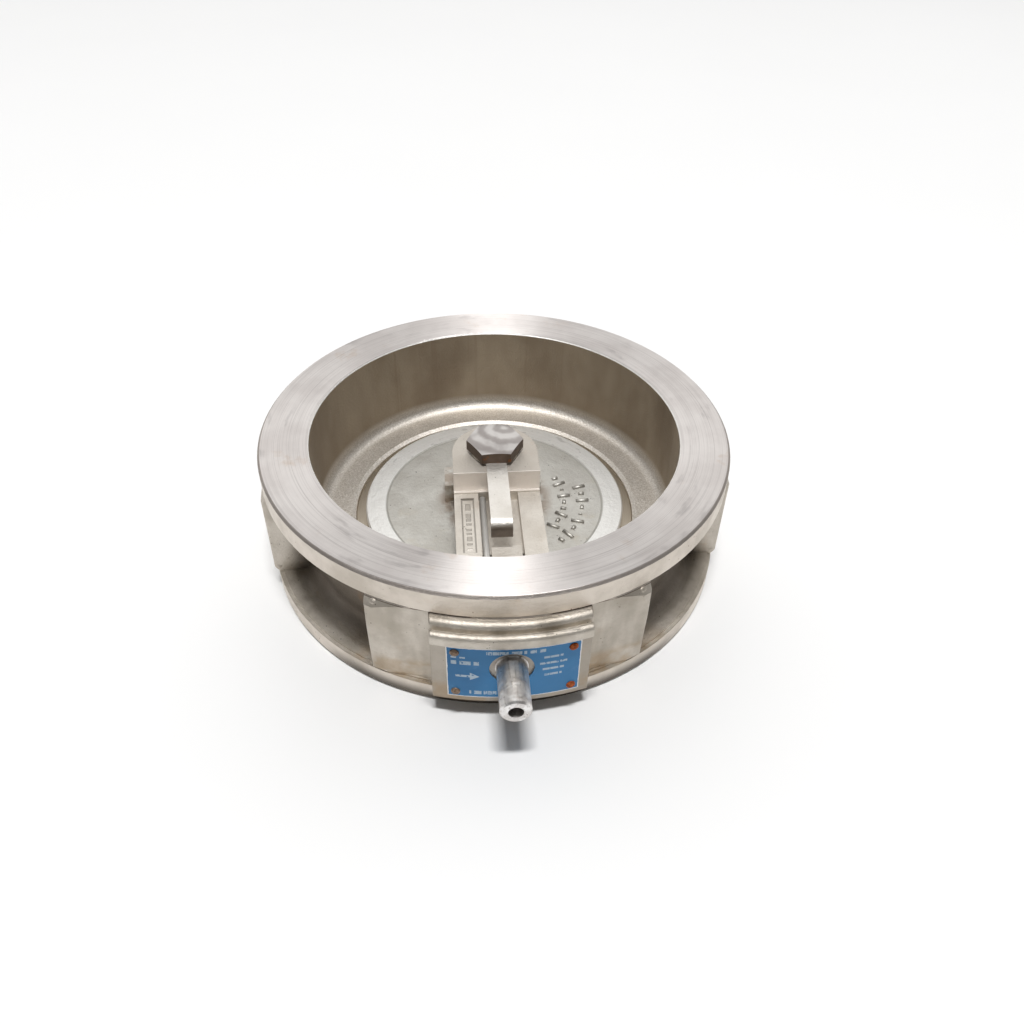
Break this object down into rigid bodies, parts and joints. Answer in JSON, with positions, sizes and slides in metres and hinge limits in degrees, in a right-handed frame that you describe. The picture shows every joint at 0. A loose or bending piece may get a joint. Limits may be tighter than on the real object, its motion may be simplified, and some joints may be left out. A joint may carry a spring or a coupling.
{
  "type": "wafer check valve",
  "caption": "Short wafer swing check valve: cast ring body held between pipe flanges, single spring-closed disc on a hinged arm, stem stub and nameplate at one side.",
  "frame": {"origin": "centre of the upstream gasket face, on the valve axis", "axes": "+Z along the valve axis in the flow direction; -Y towards the nameplate and the hinge stem; X along the hinge pin"},
  "size_m": [0.2794, 0.3147, 0.085],
  "materials": {
    "turned_steel": "turned faces and as-cast walls, stainless",
    "cast_steel": "shot-blasted investment casting, stainless",
    "disc_steel": "satin stainless",
    "seat_steel": "finely turned stainless",
    "ground_steel": "ground and worn",
    "pin_steel": "ground",
    "spring_wire": "drawn wire",
    "plate_blue": "blue printed aluminium foil plate",
    "screw_bronze": "tarnished",
    "screw_rust": "rusted",
    "black_rubber": "fluoroelastomer",
    "white_ptfe": "PTFE sheet"
  },
  "bodies": {
    "valve": {"valve_body": "turned_steel", "seat_ring": "seat_steel", "seat_seal": "black_rubber", "hinge_bracket": "ground_steel", "hinge_pin": "pin_steel", "pin_clip_left": "spring_wire", "pin_clip_right": "spring_wire", "torsion_spring": "spring_wire", "bracket_gasket": "white_ptfe", "bracket_dowel": "pin_steel", "stem_seal": "black_rubber", "nut_washer": "pin_steel", "stem_nut": "cast_steel", "nameplate": "plate_blue", "plate_screw_1": "screw_bronze", "plate_screw_2": "screw_rust", "plate_screw_3": "screw_bronze", "plate_screw_4": "screw_rust"},
    "swing": {"hinge_arm": "cast_steel", "hinge_bush": "pin_steel", "disc": "disc_steel", "disc_bolt": "ground_steel", "lock_strap": "cast_steel", "thrust_washer": "pin_steel"}
  },
  "joints": [
    {"name": "disc_swing", "type": "hinge", "parent": "valve", "child": "swing", "pos_m": [0, -0.092, 0.0407], "axis": [1, 0, 0], "range_deg": [0, 70], "stiffness_Nm_per_rad": 5, "springref_deg": -11.46, "deforming": ["torsion_spring"]}
  ]
}
